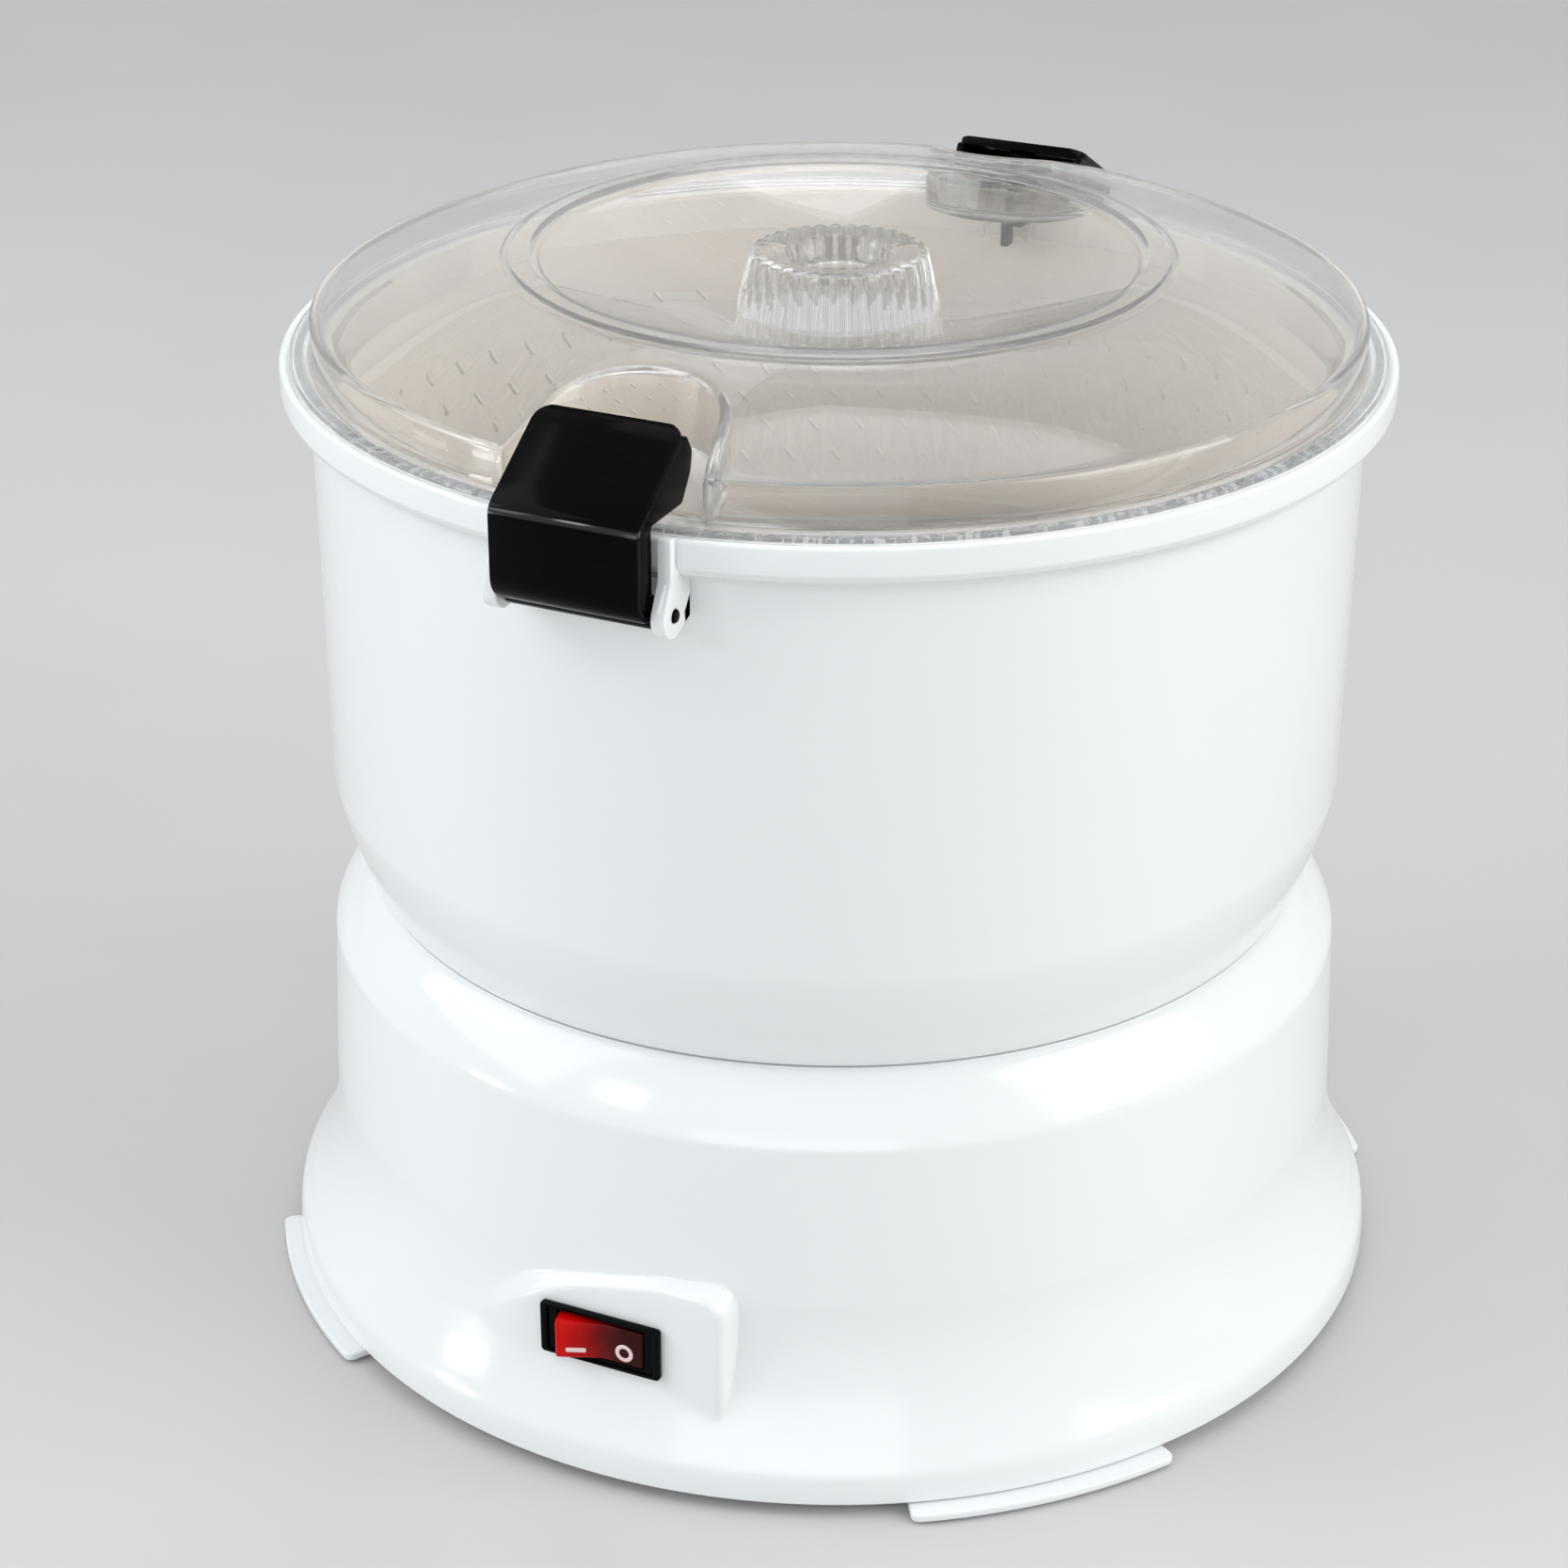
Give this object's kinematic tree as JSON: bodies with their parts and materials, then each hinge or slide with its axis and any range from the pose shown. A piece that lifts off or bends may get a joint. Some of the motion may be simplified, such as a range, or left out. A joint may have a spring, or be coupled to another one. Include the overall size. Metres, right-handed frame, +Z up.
{
  "type": "electric potato peeler",
  "caption": "Countertop vegetable peeler: a flared motor base, a lift-off bowl with a spinning abrasive disc, and a clear lid held by two over-centre latches.",
  "frame": {"origin": "on the drive axis, at the level that the rubber feet stand on", "axes": "+Z up along the drive axis, -Y towards the switch and the front latch, +X to the right of someone facing the switch"},
  "size_m": [0.2814, 0.2822, 0.263],
  "materials": {
    "white_plastic": "glossy",
    "liner_plastic": "fine matt",
    "black_gloss": "glossy",
    "black_plastic": "matt",
    "red_plastic": "glossy",
    "clear_plastic": "clear, polished",
    "rubber": "matt",
    "gasket_rubber": "satin",
    "abrasive": "coarse grit",
    "disc_plastic": "satin",
    "gear_plastic": "satin",
    "case_plastic": "satin",
    "steel": "ground",
    "lamination": "stacked sheet",
    "zinc": "plated sheet",
    "bronze": "sintered",
    "brass": "drawn",
    "copper": "enamelled wire",
    "carbon": "pressed carbon"
  },
  "bodies": {
    "base": {"base_housing": "white_plastic", "base_plate": "white_plastic", "rubber_feet": "rubber", "plate_screws": "steel", "gearbox_case": "case_plastic", "gearbox_cover": "case_plastic", "gearbox_screws": "steel", "idler_axle": "steel", "upper_bush": "bronze", "lower_bush": "bronze", "shaft_seal": "rubber", "motor_stator": "lamination", "field_coils": "copper", "motor_top_bracket": "zinc", "motor_bottom_bracket": "zinc", "motor_bolts": "steel", "motor_bearings": "bronze", "brush_holders": "black_plastic", "carbon_brushes": "carbon", "switch_body": "black_plastic", "switch_terminals": "brass", "cord_gland": "black_plastic"},
    "drive": {"drive_shaft": "steel", "output_gear": "gear_plastic", "retaining_clip": "steel"},
    "idler": {"idler_gear": "gear_plastic"},
    "rotor": {"rotor_shaft": "steel", "armature_core": "lamination", "armature_winding": "copper", "commutator": "copper", "motor_pinion": "brass", "cooling_fan": "gear_plastic"},
    "bowl": {"outer_bowl": "white_plastic", "peeling_liner": "liner_plastic", "front_bracket": "white_plastic", "rear_bracket": "white_plastic", "front_hinge_pin": "black_plastic", "rear_hinge_pin": "black_plastic"},
    "disc": {"peeling_disc": "disc_plastic", "abrasive_pad": "abrasive", "hub_cap": "black_plastic"},
    "lid_group": {"lid": "clear_plastic", "lid_gasket": "gasket_rubber", "lid_key": "black_gloss"},
    "latch_front": {"front_latch": "black_gloss"},
    "latch_rear": {"rear_latch": "black_gloss"},
    "switch_rocker": {"rocker": "red_plastic"}
  },
  "joints": [
    {"name": "rotor_spin", "type": "hinge", "parent": "base", "child": "rotor", "pos_m": [-0.058, 0, 0.045], "axis": [0, 0, 1], "continuous": true},
    {"name": "idler_spin", "type": "hinge", "parent": "base", "child": "idler", "pos_m": [-0.0387, 0.02297, 0.083], "axis": [0, 0, 1], "continuous": true},
    {"name": "shaft_spin", "type": "hinge", "parent": "base", "child": "drive", "pos_m": [0, 0, 0.1], "axis": [0, 0, 1], "continuous": true},
    {"name": "bowl_lift", "type": "slide", "parent": "base", "child": "bowl", "axis": [0, 0, 1], "range_m": [0, 0.04]},
    {"name": "disc_spin", "type": "hinge", "parent": "bowl", "child": "disc", "pos_m": [0, 0, 0.13], "axis": [0, 0, 1], "continuous": true},
    {"name": "lid_lift", "type": "slide", "parent": "bowl", "child": "lid_group", "axis": [0, 0, 1], "range_m": [0, 0.016]},
    {"name": "latch_front_open", "type": "hinge", "parent": "bowl", "child": "latch_front", "pos_m": [0, -0.1321, 0.2235], "axis": [1, 0, 0], "range_deg": [0, 120.5]},
    {"name": "latch_rear_open", "type": "hinge", "parent": "bowl", "child": "latch_rear", "pos_m": [0, 0.1321, 0.2235], "axis": [-1, 0, 0], "range_deg": [0, 120.5]},
    {"name": "rocker_tilt", "type": "hinge", "parent": "base", "child": "switch_rocker", "pos_m": [0, -0.131, 0.0356], "axis": [0, 0, -1], "range_deg": [0, 22]}
  ],
  "couplings": [
    {"joint": "idler_spin", "follows": "rotor_spin", "ratio": -0.25},
    {"joint": "shaft_spin", "follows": "rotor_spin", "ratio": 0.0625},
    {"joint": "disc_spin", "follows": "rotor_spin", "ratio": 0.0625},
    {"joint": "latch_front_open", "follows": "lid_lift", "rad_per_m": 130.9},
    {"joint": "latch_rear_open", "follows": "lid_lift", "rad_per_m": 130.9}
  ]
}
